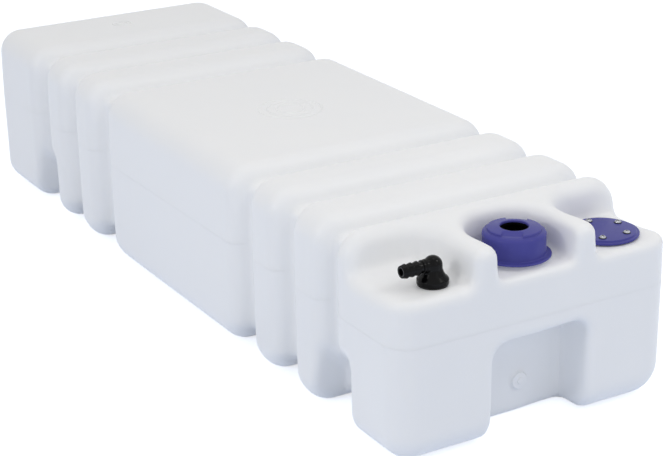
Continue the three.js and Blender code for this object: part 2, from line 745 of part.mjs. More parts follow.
function suctionStrainer() {
  const low = wall + strainerFloorGap;
  const high = low + strainerHeight;
  const tubeFit = suctionTubeRadius + seatGap;
  let basket = turned([
    [0, low], [strainerRadius, low], [strainerRadius, high - strainerWall * 2], [tubeFit + strainerWall, high],
    [tubeFit, high], [tubeFit, high - strainerWall * 3], [strainerRadius - strainerWall, high - strainerWall * 4],
    [strainerRadius - strainerWall, low + strainerWall], [0, low + strainerWall],
  ], elbowX, elbowY, fittingSegments);
  for (let i = 0; i < strainerSlots / 2; i += 1) {
    const slot = new THREE.BoxGeometry(strainerRadius * 2 + wall, strainerSlotWidth, strainerHeight / 2);
    slot.rotateZ((i * 2 * Math.PI) / strainerSlots);
    slot.translate(elbowX, elbowY, low + strainerHeight / 2 - strainerWall * 2);
    basket = basket.subtract(solidOf(slot));
  }
  return basket;
}

// Cover parts, from the pad upwards and downwards
const coverLow = padHeight + gasketThickness;
const coverHigh = coverLow + coverThickness;
const backingTop = padUnderside;
const screwHeadLow = coverHigh + screwWasherThickness;

function pierced(solid, radius) {
  let result = solid;
  for (const [x, y] of screwPlaces()) {
    const low = padUnderside - backingRingThickness - wall;
    result = result.subtract(turned(discProfile(radius, low, screwHeadLow + wall), x, y, smallSegments));
  }
  return result;
}

function inspectionCover() {
  return pierced(turned([
    [0, coverLow],
    ...arc(coverRadius - coverEdge, coverLow + coverEdge, coverEdge, -90, 0, innerSteps),
    ...arc(coverRadius - coverEdge, coverLow + coverRimThickness - coverEdge, coverEdge, 0, 90, innerSteps),
    [coverRadius - coverRimWidth + coverEdge, coverLow + coverRimThickness],
    [coverRadius - coverRimWidth, coverHigh - coverEdge],
    [coverRadius - coverRimWidth - coverEdge, coverHigh],
    [0, coverHigh],
  ], coverX, coverY), screwHole);
}

function coverGasket() {
  return pierced(turned(ringProfile(inspectionHoleRadius, gasketRadius, padHeight, coverLow), coverX, coverY), screwHole);
}

function backingRing() {
  const profile = ringProfile(backingRingInner, backingRingOuter, backingTop - backingRingThickness, backingTop);
  return pierced(turned(profile, coverX, coverY), screwRadius + seatGap);
}

function coverScrew(x, y) {
  const low = backingTop - backingRingThickness - screwPast;
  const high = screwHeadLow + screwHeadHeight;
  const shank = turned([
    [0, low], [screwRadius - screwHeadEdge, low], [screwRadius, low + screwHeadEdge], [screwRadius, screwHeadLow],
    [screwHeadRadius, screwHeadLow], [screwHeadRadius, high - screwHeadEdge * 2],
    [screwHeadRadius - screwHeadEdge, high - screwHeadEdge / 2], [screwHeadRadius / 2, high], [0, high],
  ], x, y, smallSegments);
  const across = box(screwCrossLength, screwCrossWidth, screwCrossDepth * 2, x, y, high);
  const along = box(screwCrossWidth, screwCrossLength, screwCrossDepth * 2, x, y, high);
  return shank.subtract(across.add(along));
}

function screwWasher(x, y) {
  return turned(ringProfile(screwHole, screwWasherRadius, coverHigh, screwHeadLow), x, y, smallSegments);
}

const polyethylene = { color: 0xe6ebf2, roughness: 0.42, metalness: 0 };
const blueCap = { color: 0x50529e, roughness: 0.35, metalness: 0 };
const blackPlastic = { color: 0x101012, roughness: 0.28, metalness: 0 };
const blackRubber = { color: 0x17171a, roughness: 0.7, metalness: 0 };
const whitePlastic = { color: 0xd9dce0, roughness: 0.5, metalness: 0 };
const stainlessSteel = { color: 0xc9ccd0, roughness: 0.22, metalness: 1 };

const tank = new THREE.Group();
tank.add(namedMesh('tank_shell', tankShell(), polyethylene));
tank.add(namedMesh('filler_seal', fillerSeal(), blackRubber));
tank.add(namedMesh('filler_hose_sleeve', fillerSleeve(), blackRubber));
tank.add(namedMesh('filler_collar', fillerCollar(), blueCap));
tank.add(namedMesh('hose_elbow', hoseElbow(), blackPlastic));
tank.add(namedMesh('elbow_outer_washer', elbowWasher(padHeight, outerWasherThickness), blackRubber));
tank.add(namedMesh('elbow_inner_washer', elbowWasher(backnutTop, innerWasherThickness), blackRubber));
tank.add(namedMesh('elbow_backnut', elbowBacknut(), blackPlastic));
tank.add(namedMesh('suction_tube', suctionTube(), whitePlastic));
tank.add(namedMesh('suction_strainer', suctionStrainer(), whitePlastic));
tank.add(namedMesh('inspection_cover', inspectionCover(), blueCap));
tank.add(namedMesh('cover_gasket', coverGasket(), blackRubber));
tank.add(namedMesh('cover_backing_ring', backingRing(), stainlessSteel));
screwPlaces().forEach(([x, y], i) => {
  tank.add(namedMesh(`cover_screw_${i + 1}`, coverScrew(x, y), stainlessSteel));
  tank.add(namedMesh(`screw_washer_${i + 1}`, screwWasher(x, y), blackRubber));
});

export default tank;
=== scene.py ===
import math

import bpy
import numpy as np
from mathutils import Euler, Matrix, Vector


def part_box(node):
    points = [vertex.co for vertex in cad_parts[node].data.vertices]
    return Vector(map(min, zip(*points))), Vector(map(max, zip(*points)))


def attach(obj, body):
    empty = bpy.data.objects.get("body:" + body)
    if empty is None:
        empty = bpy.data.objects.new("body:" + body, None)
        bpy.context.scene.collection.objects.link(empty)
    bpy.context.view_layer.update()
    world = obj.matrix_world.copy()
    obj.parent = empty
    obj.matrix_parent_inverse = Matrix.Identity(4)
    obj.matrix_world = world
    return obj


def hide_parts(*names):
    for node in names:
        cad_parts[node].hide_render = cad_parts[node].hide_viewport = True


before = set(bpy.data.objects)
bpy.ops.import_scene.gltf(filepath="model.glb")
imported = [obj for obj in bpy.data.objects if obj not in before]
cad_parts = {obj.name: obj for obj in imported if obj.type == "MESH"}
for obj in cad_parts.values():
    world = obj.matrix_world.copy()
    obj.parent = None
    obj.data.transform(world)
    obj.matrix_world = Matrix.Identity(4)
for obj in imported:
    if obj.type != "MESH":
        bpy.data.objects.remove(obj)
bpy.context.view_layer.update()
millimetre = 0.001
overcut = 5.0  # how far a hole's cutter stands past the surface
holeSegments = 96
usualRange = (0.3, 0.7)  # where most of a noise's values lie
print("frame loaded:", len(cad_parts), "nodes")


# Node helpers

def newMaterial(name, settings):
    material = bpy.data.materials.new(name)
    material.use_nodes = True
    nodes = material.node_tree.nodes
    shader = nodes["Principled BSDF"]
    for socket, value in settings.items():
        shader.inputs[socket].default_value = value
    return material, nodes, material.node_tree.links, shader


def addNode(nodes, kind, inputs=None, **attributes):
    node = nodes.new(kind)
    for name, value in attributes.items():
        setattr(node, name, value)
    for socket, value in (inputs or {}).items():
        node.inputs[socket].default_value = value
    return node


def addNoise(nodes, links, place, scale, detail):
    noise = addNode(nodes, "ShaderNodeTexNoise", {"Scale": scale, "Detail": detail})
    links.new(place, noise.inputs["Vector"])
    return noise


def addTint(nodes, links, source, shader, look):
    # base colour that follows a noise, from the deep colour to the pale one
    ramp = addNode(nodes, "ShaderNodeValToRGB")
    names = ("deepColour", "paleColour")
    for element, position, name in zip(ramp.color_ramp.elements, look["tintRange"], names):
        element.position = position
        element.color = (*look[name], 1)
    links.new(source, ramp.inputs["Fac"])
    links.new(ramp.outputs["Color"], shader.inputs["Base Color"])


def addRoughness(nodes, links, source, shader, look):
    # roughness that follows a noise, spread below and above its middle value
    noiseLow, noiseHigh = usualRange
    below, above = look["spread"]
    spread = addNode(nodes, "ShaderNodeMapRange", {
        "From Min": noiseLow, "From Max": noiseHigh,
        "To Min": look["roughness"] - below, "To Max": look["roughness"] + above})
    links.new(source, spread.inputs["Value"])
    links.new(spread.outputs["Result"], shader.inputs["Roughness"])


def addBumps(nodes, links, shader, layers):
    previous = None
    for source, strength, distance in layers:
        bump = addNode(nodes, "ShaderNodeBump", {"Strength": strength, "Distance": distance})
        links.new(source, bump.inputs["Height"])
        if previous:
            links.new(previous.outputs["Normal"], bump.inputs["Normal"])
        previous = bump
    links.new(previous.outputs["Normal"], shader.inputs["Normal"])


# Materials

def makePolyethylene(look):
    material, nodes, links, shader = newMaterial("naturalPolyethylene", {
        "Subsurface Weight": look["subsurface"], "Subsurface Scale": look["subsurfaceScale"],
        "Subsurface Radius": look["subsurfaceRadius"], "IOR": 1.5, "Specular IOR Level": look["specular"],
    })
    place = addNode(nodes, "ShaderNodeTexCoord")
    cloud = addNoise(nodes, links, place.outputs["Object"], look["cloudScale"], 4.0)
    grain = addNoise(nodes, links, place.outputs["Object"], look["grainScale"], 2.0)
    peel = addNoise(nodes, links, place.outputs["Object"], look["peelScale"], 2.0)
    addTint(nodes, links, cloud.outputs["Fac"], shader, look)
    addRoughness(nodes, links, cloud.outputs["Fac"], shader, look)
    addBumps(nodes, links, shader, [
        (peel.outputs["Fac"], look["peelStrength"], look["peelDepth"]),
        (grain.outputs["Fac"], look["grainStrength"], look["grainDepth"]),
    ])
    return material


def makeMoulded(name, look):
    material, nodes, links, shader = newMaterial(name, {"IOR": 1.5, "Specular IOR Level": look["specular"]})
    place = addNode(nodes, "ShaderNodeTexCoord")
    cloud = addNoise(nodes, links, place.outputs["Object"], look["cloudScale"], 3.0)
    grain = addNoise(nodes, links, place.outputs["Object"], look["grainScale"], 2.0)
    addTint(nodes, links, cloud.outputs["Fac"], shader, look)
    addRoughness(nodes, links, grain.outputs["Fac"], shader, look)
    addBumps(nodes, links, shader, [(grain.outputs["Fac"], look["grainStrength"], look["grainDepth"])])
    return material


def makeSteel(look):
    material, nodes, links, shader = newMaterial("stainlessSteel", {"Metallic": 1.0})
    place = addNode(nodes, "ShaderNodeTexCoord")
    stretch = addNode(nodes, "ShaderNodeMapping", {"Scale": look["brushStretch"]})
    links.new(place.outputs["Object"], stretch.inputs["Vector"])
    brush = addNoise(nodes, links, stretch.outputs["Vector"], look["brushScale"], 3.0)
    addTint(nodes, links, brush.outputs["Fac"], shader, look)
    addRoughness(nodes, links, brush.outputs["Fac"], shader, look)
    addBumps(nodes, links, shader, [(brush.outputs["Fac"], look["brushStrength"], look["brushDepth"])])
    return material


finishes = {
    "polyethylene": makePolyethylene({
        "deepColour": (0.94, 0.95, 0.965), "paleColour": (0.96, 0.967, 0.978), "tintRange": (0.34, 0.66),
        "subsurface": 0.12, "subsurfaceScale": 0.006, "subsurfaceRadius": (1.0, 1.05, 1.2),
        "roughness": 0.42, "spread": (0.04, 0.05), "specular": 0.42,
        "cloudScale": 7.0, "grainScale": 900.0, "peelScale": 60.0,
        "peelStrength": 0.10, "peelDepth": 0.0012, "grainStrength": 0.12, "grainDepth": 0.0002,
    }),
    "blue": makeMoulded("violetBluePlastic", {
        "deepColour": (0.070, 0.070, 0.305), "paleColour": (0.080, 0.079, 0.330), "tintRange": usualRange,
        "roughness": 0.2, "spread": (0.03, 0.03), "specular": 0.08, "cloudScale": 25.0, "grainScale": 260.0,
        "grainStrength": 0.05, "grainDepth": 0.0002,
    }),
    "black": makeMoulded("blackGlossPlastic", {
        "deepColour": (0.0015, 0.0015, 0.0018), "paleColour": (0.003, 0.003, 0.0035), "tintRange": usualRange,
        "roughness": 0.17, "spread": (0.03, 0.03), "specular": 0.13, "cloudScale": 60.0, "grainScale": 300.0,
        "grainStrength": 0.12, "grainDepth": 0.0002,
    }),
    "rubber": makeMoulded("blackRubber", {
        "deepColour": (0.006, 0.006, 0.006), "paleColour": (0.013, 0.013, 0.014), "tintRange": usualRange,
        "roughness": 0.55, "spread": (0.1, 0.1), "specular": 0.4, "cloudScale": 80.0, "grainScale": 1200.0,
        "grainStrength": 0.25, "grainDepth": 0.0002,
    }),
    "sleeveRubber": makeMoulded("polishedRubber", {
        "deepColour": (0.0015, 0.0015, 0.0015), "paleColour": (0.003, 0.003, 0.0035), "tintRange": usualRange,
        "roughness": 0.14, "spread": (0.04, 0.04), "specular": 0.0, "cloudScale": 80.0, "grainScale": 300.0,
        "grainStrength": 0.1, "grainDepth": 0.0002,
    }),
    "white": makeMoulded("whitePlastic", {
        "deepColour": (0.60, 0.61, 0.63), "paleColour": (0.72, 0.73, 0.75), "tintRange": usualRange,
        "roughness": 0.5, "spread": (0.06, 0.06), "specular": 0.4, "cloudScale": 60.0, "grainScale": 800.0,
        "grainStrength": 0.1, "grainDepth": 0.0002,
    }),
    "steel": makeSteel({
        "deepColour": (0.34, 0.35, 0.37), "paleColour": (0.50, 0.51, 0.53), "tintRange": usualRange,
        "roughness": 0.16, "spread": (0.05, 0.08), "brushStretch": (1.0, 14.0, 1.0), "brushScale": 220.0,
        "brushStrength": 0.15, "brushDepth": 0.0001,
    }),
}
print("materials made:", len(finishes))


# Shape helpers, all in millimetres

def filleted(corners, steps):
    # corners are (u, v, radius); the two ends stay as they are
    path = []
    for i, (u, v, radius) in enumerate(corners):
        if radius <= 0 or i in (0, len(corners) - 1):
            path.append((u, v))
            continue
        corner = np.array([u, v], float)
        before = np.array(corners[i - 1][:2], float) - corner
        after = np.array(corners[i + 1][:2], float) - corner
        before /= np.linalg.norm(before)
        after /= np.linalg.norm(after)
        half = math.acos(float(np.clip(before @ after, -1, 1))) / 2
        middle = (before + after) / np.linalg.norm(before + after)
        centre = corner + middle * radius / math.sin(half)
        start = corner + before * radius / math.tan(half) - centre
        end = corner + after * radius / math.tan(half) - centre
        sweep = math.atan2(start[0] * end[1] - start[1] * end[0], float(start @ end))
        for k in range(steps + 1):
            c, s = math.cos(sweep * k / steps), math.sin(sweep * k / steps)
            path.append((centre[0] + c * start[0] - s * start[1], centre[1] + s * start[0] + c * start[1]))
    return path


def closedFillets(corners, steps):
    # the same for a closed outline: it starts half way along its last side
    (u0, v0, _), (u1, v1, _) = corners[-1], corners[0]
    middle = ((u0 + u1) / 2, (v0 + v1) / 2, 0)
    return filleted([middle, *corners, middle], steps)[:-1]


def profileField(path, low, high, step, window=60.0):
    # signed distance to a line that runs with the solid on its left, as a table to look up
    us = np.arange(low[0], high[0] + step, step)
    vs = np.arange(low[1], high[1] + step, step)
    best = np.full((len(us), len(vs)), np.inf)
    signed = np.full_like(best, window)
    for (u0, v0), (u1, v1) in zip(path[:-1], path[1:]):
        du, dv = u1 - u0, v1 - v0
        squared = du * du + dv * dv
        if squared < 1e-9:
            continue
        first, last = np.searchsorted(us, (min(u0, u1) - window, max(u0, u1) + window))
        relU, relV = us[first:last, None] - u0, vs[None, :] - v0
        along = np.clip((relU * du + relV * dv) / squared, 0, 1)
        distance = np.hypot(relU - along * du, relV - along * dv)
        side = np.where(du * relV - dv * relU > 0, -1.0, 1.0)
        nearer = distance < best[first:last] - 1e-7
        best[first:last] = np.where(nearer, distance, best[first:last])
        signed[first:last] = np.where(nearer, distance * side, signed[first:last])

    def look(u, v):
        fu = np.clip((u - us[0]) / step, 0, len(us) - 1.001)
        fv = np.clip((v - vs[0]) / step, 0, len(vs) - 1.001)
        iu, iv = fu.astype(int), fv.astype(int)
        tu, tv = fu - iu, fv - iv
        return ((1 - tu) * (1 - tv) * signed[iu, iv] + tu * (1 - tv) * signed[iu + 1, iv]
                + (1 - tu) * tv * signed[iu, iv + 1] + tu * tv * signed[iu + 1, iv + 1])
    return look


def roundMax(a, b, radius):
    # both shapes at once, with their common outer edge rounded
    near = np.hypot(np.maximum(radius + a, 0), np.maximum(radius + b, 0))
    return np.minimum(-radius, np.maximum(a, b)) + near


def roundMin(a, b, radius):
    # either shape, with a fillet where they meet
    near = np.hypot(np.maximum(radius - a, 0), np.maximum(radius - b, 0))
    return np.maximum(radius, np.minimum(a, b)) - near


def carve(body, tool, radius):
    # the body without the tool, with the cut's edge rounded
    return roundMax(body, -tool, radius)


def ease(t):
    # from 0 to 1 with a soft start and end
    t = np.clip(t, 0, 1)
    return t * t * (3 - 2 * t)


def surfaceNet(field, low, high, step, level=0.0, settle=3):
    # closed quad mesh where field equals level; vertices are drawn onto the true surface
    leastSlope, longestMove, nudge = 0.2, 0.6 * step, 0.08 * step
    axes = [np.arange(a - 1.5 * step, b + 2.5 * step, step) for a, b in zip(low, high)]
    grid = np.stack(np.meshgrid(*axes, indexing="ij"), -1)
    values = field(grid.reshape(-1, 3)).reshape(grid.shape[:3]) - level
    inside = values < 0
    count = sum(inside[i:i - 1 or None, j:j - 1 or None, k:k - 1 or None].astype(int)
                for i in (0, 1) for j in (0, 1) for k in (0, 1))
    cells = np.argwhere((count > 0) & (count < 8))
    ids = np.full(count.shape, -1)
    ids[tuple(cells.T)] = np.arange(len(cells))
    total, hits = np.zeros((len(cells), 3)), np.zeros(len(cells))
    for axis in range(3):
        others = [a for a in range(3) if a != axis]
        for first in (0, 1):
            for second in (0, 1):
                start = np.zeros(3, int)
                start[others[0]], start[others[1]] = first, second
                end = start.copy()
                end[axis] = 1
                a = values[tuple((cells + start).T)]
                b = values[tuple((cells + end).T)]
                crossing = (a < 0) != (b < 0)
                share = np.where(crossing, a / np.where(crossing, a - b, 1), 0)
                point = start[None, :] + share[:, None] * (end - start)[None, :]
                total += np.where(crossing[:, None], point, 0)
                hits += crossing
    origin = np.array([axis[0] for axis in axes])
    points = origin + (cells + total / hits[:, None]) * step
    quads = []
    for axis in range(3):
        second, third = (axis + 1) % 3, (axis + 2) % 3
        near = np.moveaxis(inside, axis, 0)
        change = np.moveaxis(near[:-1] != near[1:], 0, axis)
        edges = np.argwhere(change)
        edges = edges[(edges[:, second] > 0) & (edges[:, third] > 0)]
        back = -np.eye(3, dtype=int)
        ring = [back[second] + back[third], back[third], 0 * back[0], back[second]]
        corners = np.stack([ids[tuple((edges + offset).T)] for offset in ring], 1)
        outward = inside[tuple(edges.T)]
        quads.append(np.where(outward[:, None], corners, corners[:, ::-1]))
    quads = np.concatenate(quads)
    links = np.concatenate([quads[:, [i, (i + 1) % 4]] for i in range(4)])
    degree = np.bincount(links[:, 0], minlength=len(points))[:, None]
    for turn in range(settle):
        if turn < settle - 1:
            sums = np.stack([
                np.bincount(links[:, 0], points[links[:, 1], a], len(points)) for a in range(3)], 1)
            points = 0.5 * points + 0.5 * sums / degree
        for _ in range(2):
            value = field(points) - level
            slope = np.stack([
                (field(points + nudge * axis) - field(points - nudge * axis)) / (2 * nudge)
                for axis in np.eye(3)], 1)
            move = value[:, None] * slope / np.maximum((slope ** 2).sum(1), leastSlope)[:, None]
            length = np.linalg.norm(move, axis=1)[:, None]
            points = points - move * np.minimum(1, longestMove / np.maximum(length, 1e-9))
    return points, quads


def turnedMesh(path, segments, closed=True):
    # a line of (radius, height) spun round the Z axis; heights rise with the solid on the left
    points, rings = [], []
    for radius, height in path:
        if radius < 1e-6:
            rings.append([len(points)] * segments)
            points.append((0.0, 0.0, height))
            continue
        rings.append(list(range(len(points), len(points) + segments)))
        for i in range(segments):
            angle = 2 * math.pi * i / segments
            points.append((radius * math.cos(angle), radius * math.sin(angle), height))
    faces = []
    count = len(rings) if closed else len(rings) - 1
    for r in range(count):
        a, b = rings[r], rings[(r + 1) % len(rings)]
        for i in range(segments):
            j = (i + 1) % segments
            face = []
            for corner in (a[i], a[j], b[j], b[i]):
                if corner not in face:
                    face.append(corner)
            if len(face) > 2:
                faces.append(face)
    return np.array(points), faces


def makePiece(name, points, faces, finish, sharp=35.0):
    mesh = bpy.data.meshes.new(name)
    mesh.from_pydata((np.asarray(points) * millimetre).tolist(), [], [list(map(int, face)) for face in faces])
    mesh.validate()
    mesh.polygons.foreach_set("use_smooth", [True] * len(mesh.polygons))
    mesh.set_sharp_from_angle(angle=math.radians(sharp))
    mesh.materials.append(finishes[finish])
    piece = bpy.data.objects.new(name, mesh)
    bpy.context.scene.collection.objects.link(piece)
    return piece


def applied(piece):
    # the piece with its modifiers made final
    bpy.context.view_layer.update()
    mesh = bpy.data.meshes.new_from_object(piece.evaluated_get(bpy.context.evaluated_depsgraph_get()))
    old = piece.data
    piece.modifiers.clear()
    piece.data = mesh
    mesh.name = old.name
    bpy.data.meshes.remove(old)


def bored(piece, cutters, sharp=35.0):
    # cutters are (radius, low, high, x, y), cut away as round holes
    parts = []
    for radius, low, high, x, y in cutters:
        line = [(0, low), (radius, low), (radius, high), (0, high)]
        points, faces = turnedMesh(line, holeSegments, closed=False)
        parts.append((placed(points, x, y), faces))
    tool = makePiece(piece.name + "Cutter", *joined(parts), "polyethylene")
    cut = piece.modifiers.new("holes", "BOOLEAN")
    cut.operation = "DIFFERENCE"
    cut.solver = "EXACT"
    cut.object = tool
    applied(piece)
    bpy.data.objects.remove(tool)
    piece.data.set_sharp_from_angle(angle=math.radians(sharp))


def placed(points, x, y, z=0.0):
    return np.asarray(points) + (x, y, z)


def joined(parts):
    # several (points, faces) as one
    points, faces = np.empty((0, 3)), []
    for more, newFaces in parts:
        faces += [[int(corner) + len(points) for corner in face] for face in newFaces]
        points = np.concatenate([points, more])
    return points, faces


def finishPiece(piece, body, slotName, *nodes):
    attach(piece, body)
    if nodes:
        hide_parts(*nodes)
    print("piece", piece.name, len(piece.data.vertices), "vertices")


def flatRing(size, low, high):
    # a flat ring with rounded edges; size holds its bore, radius, rounds and fineness
    inner, outer = size["rounds"]
    path = closedFillets([(size["bore"], low, inner), (size["radius"], low, outer),
                          (size["radius"], high, outer), (size["bore"], high, inner)], size["steps"])
    return turnedMesh(path, size["segments"])


def nodeBox(node):
    # a CAD node's lowest and highest corner in millimetres
    low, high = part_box(node)
    return np.array(low) / millimetre, np.array(high) / millimetre


def nodeHeights(node):
    low, high = nodeBox(node)
    return low[2], high[2]


def nodeMiddle(node):
    low, high = nodeBox(node)
    return (low[0] + high[0]) / 2, (low[1] + high[1]) / 2


# Tank shell

tank = {
    "length": 1370.0, "width": 445.0, "height": 284.0, "wall": 5.0, "partingHeight": 170.0, "draft": 0.6,
    "edgeRadius": 40.0, "rightEdgeRadius": 46.0, "endRadius": 38.0, "ridgeEndRadius": 15.0,
    "blocks": [(0, 152), (200, 266), (321, 387), (442, 874), (942, 1008), (1063, 1129), (1189, 1370)],
    "grooveDepth": 31.0, "grooveWallAngle": 13.0, "grooveFloor": 10.0,
    "blockEdge": 22.0, "blockRearEdge": 18.0,
    "underDepth": 34.0, "underEdge": 31.0, "underSetback": 16.0, "underReach": 46.0,
    "padHeight": 230.0, "padRear": 118.0, "fillerPadRear": 113.0, "padCorner": 45.0, "fillerPadCorner": 56.0,
    "padDraft": 5.0, "padFloors": (12.0, 10.0, 8.0),  # left, middle and right pad
    "padRolls": ((14.0, 20.0), (9.0, 14.0), (9.0, 20.0)), "rollChange": (25.0, 55.0),  # front and rear edge
    "ridges": ((-105, -64.5), (55, 92.5)), "ridgeEndStart": 232.0, "ridgeEndChange": 24.0,
    "ridgeDrop": 6.5, "ridgeDropReach": (116.0, 70.0), "ridgeDropRise": (-8.0, 50.0),
    "recess": (-71, 82), "recessTop": 140.0, "recessDepth": 62.0, "recessCorners": (30.0, 24.0),
    "recessFloor": 6.0, "recessDraft": 4.0, "recessRightDraft": 1.0,
    "recessEdge": 4.5, "recessRightEdge": 4.5, "recessUnderEdge": 4.0, "recessEdgeChange": 60.0,
    "holds": ((118, 200), (1107, 1189)), "holdTop": 118.0, "holdDepth": 60.0, "holdSplay": 9.0,
    "holdCorner": 16.0, "holdFloor": 12.0, "holdEdge": 8.0,
    "outerStep": 6.2, "innerStep": 12.5, "cornerSteps": 14,
    "tableStep": 1.0, "tableMargin": 40.0, "tableDepth": 150.0,
}
frontY = -tank["length"] / 2
fillerAt, elbowAt, coverAt = (
    nodeMiddle(node) for node in ("filler_collar", "elbow_outer_washer", "inspection_cover"))
neck = {"radius": 38.0, "bore": 31.0, "top": nodeHeights("filler_seal")[0], "edge": 1.0, "fillet": 1.5,
        "landRadius": 45.0, "landEdge": 1.5, "landFillet": 4.0,
        "landTop": nodeHeights("filler_collar")[0] - 0.3}  # just under the collar
padHoles = {"elbow": 11.2, "inspection": 25.5, "screw": 2.9}
screwRing = {"radius": 33.5, "count": 5, "firstAngle": 14.7}


def screwPlaces():
    angles = [math.radians(screwRing["firstAngle"] + 360 * i / screwRing["count"])
              for i in range(screwRing["count"])]
    return [(coverAt[0] + screwRing["radius"] * math.cos(a), coverAt[1] + screwRing["radius"] * math.sin(a))
            for a in angles]


def screwHoles(radius, low, high):
    return [(radius, low - overcut, high + overcut, x, y) for x, y in screwPlaces()]


def skinLine(depth, rearEdge, frontEdge, setback, frontRadius):
    # lengthwise line of the skin as (place from the front, inset); the solid is on its left
    lean = depth * math.tan(math.radians(tank["grooveWallAngle"]))
    far, over = tank["height"], tank["length"]
    corners = [(0, far, 0), (0, 0, frontRadius)]
    for (_, start), (end, _) in zip(tank["blocks"][:-1], tank["blocks"][1:]):
        corners += [(start, 0, rearEdge), (start + lean, depth, tank["grooveFloor"])]
        corners += [(end + setback - lean, depth, tank["grooveFloor"]), (end + setback, 0, frontEdge)]
    corners += [(over, 0, tank["endRadius"]), (over, far, 0)]
    return filleted(corners, tank["cornerSteps"])


def makeTankField():
    t = tank
    low, high = (-t["tableMargin"], -t["tableMargin"]), (t["length"] + t["tableMargin"], t["tableDepth"])
    sideLine, topLine = (skinLine(t["grooveDepth"], t["blockRearEdge"], t["blockEdge"], 0, t[end])
                         for end in ("endRadius", "ridgeEndRadius"))
    underLine = skinLine(t["underDepth"], t["underEdge"], t["underEdge"], t["underSetback"], t["endRadius"])
    sideField, topField, underField = (
        profileField(line, low, high, t["tableStep"]) for line in (sideLine, topLine, underLine))
    lean, padLean, recessLean, recessRightLean, splay = (
        math.tan(math.radians(t[name]))
        for name in ("draft", "padDraft", "recessDraft", "recessRightDraft", "holdSplay"))
    (leftOuter, leftInner), (rightInner, rightOuter) = t["ridges"]
    dropFrom, dropLength = t["ridgeDropReach"]
    dropLow, dropRise = t["ridgeDropRise"]
    rollFrom, rollLength = t["rollChange"]
    recessLeft, recessRight = t["recess"]

    def field(p):
        x, y, z = p[:, 0], p[:, 1] - frontY, p[:, 2]
        half = t["width"] / 2
        drawn = x / (1 - np.abs(z - t["partingHeight"]) * lean / half)
        edge = np.where(x > 0, t["rightEdgeRadius"], t["edgeRadius"])
        across = np.abs(drawn) - half + edge
        lowered = ease((dropFrom - y) / dropLength) * ease((z - t["padHeight"] - dropLow) / dropRise)
        upright = np.abs(z + t["ridgeDrop"] * lowered - t["height"] / 2) - t["height"] / 2 + edge
        inset = -(np.hypot(np.maximum(across, 0), np.maximum(upright, 0))
                  + np.minimum(np.maximum(across, upright), 0) - edge)
        under = ease((t["underReach"] - z) / t["underReach"])
        over = ease((z - t["ridgeEndStart"]) / t["ridgeEndChange"])
        body = (sideField(y, inset) * (1 - under - over) + underField(y, inset) * under
                + topField(y, inset) * over)

        rise = (z - t["padHeight"]) * padLean
        floor = t["padHeight"] - z
        leftPad = roundMax(x - leftOuter - rise, y - t["padRear"] - rise, t["padCorner"])
        middlePad = roundMax(leftInner - x - rise, y - t["fillerPadRear"] - rise, t["fillerPadCorner"])
        middlePad = roundMax(middlePad, x - rightInner - rise, t["fillerPadCorner"])
        rightPad = roundMax(rightOuter - x - rise, y - t["padRear"] - rise, t["padCorner"])
        back = ease((y - rollFrom) / rollLength)
        plans = (leftPad, middlePad, rightPad)
        for plan, floorRadius, (nearRoll, farRoll) in zip(plans, t["padFloors"], t["padRolls"]):
            body = carve(body, roundMax(plan, floor, floorRadius), nearRoll + (farRoll - nearRoll) * back)

        opening = (t["recessDepth"] - y) * recessLean
        recess = roundMax(recessLeft - x - opening, z - t["recessTop"] - opening, t["recessCorners"][0])
        rightOpen = (t["recessDepth"] - y) * recessRightLean
        rightWall = (x - recessRight - rightOpen) / math.hypot(1, recessRightLean)
        recess = roundMax(recess, rightWall, t["recessCorners"][1])
        recess = roundMax(recess, y - t["recessDepth"], t["recessFloor"])
        lip = (t["recessEdge"] + t["recessRightEdge"] * ease(x / t["recessEdgeChange"])
               + t["recessUnderEdge"] * ease(1 - z / t["recessEdgeChange"]))
        body = carve(body, recess, lip)

        level = half - np.abs(x)
        for near, far in t["holds"]:
            hold = roundMax(near - y, (z - t["holdTop"] + level) / math.sqrt(2), t["holdCorner"])
            hold = roundMax(hold, y - far - (t["holdTop"] - z) * splay, t["holdCorner"])
            hold = roundMax(hold, level - t["holdDepth"], t["holdFloor"])
            body = carve(body, hold, t["holdEdge"])

        reach = np.hypot(x - fillerAt[0], p[:, 1] - fillerAt[1])
        foot = t["padHeight"] - t["wall"] - z
        land = np.maximum(roundMax(reach - neck["landRadius"], z - neck["landTop"], neck["landEdge"]), foot)
        spout = np.maximum(roundMax(reach - neck["radius"], z - neck["top"], neck["edge"]), foot)
        return roundMin(roundMin(body, land, neck["landFillet"]), spout, neck["fillet"])
    return field


def makeTankShell():
    field = makeTankField()
    low = np.array([-tank["width"] / 2, frontY, 0])
    high = np.array([tank["width"] / 2, -frontY, tank["height"]])
    outer = surfaceNet(field, low, high, tank["outerStep"])
    innerPoints, innerQuads = surfaceNet(field, low, high, tank["innerStep"], level=-tank["wall"])
    points, faces = joined([outer, (innerPoints, innerQuads[:, ::-1])])
    shell = makePiece("tankShell", points, faces, "polyethylene", sharp=60)
    low, high = tank["padHeight"] - 3 * tank["wall"], tank["padHeight"] + tank["wall"]
    holes = [(neck["bore"], low, neck["top"] + overcut, *fillerAt), (padHoles["elbow"], low, high, *elbowAt),
             (padHoles["inspection"], low, high, *coverAt)]
    holes += [(padHoles["screw"], low, high, x, y) for x, y in screwPlaces()]
    bored(shell, holes, sharp=50)
    finishPiece(shell, "tank", "polyethylene", "tank_shell")


makeTankShell()


# Moulded details of the shell

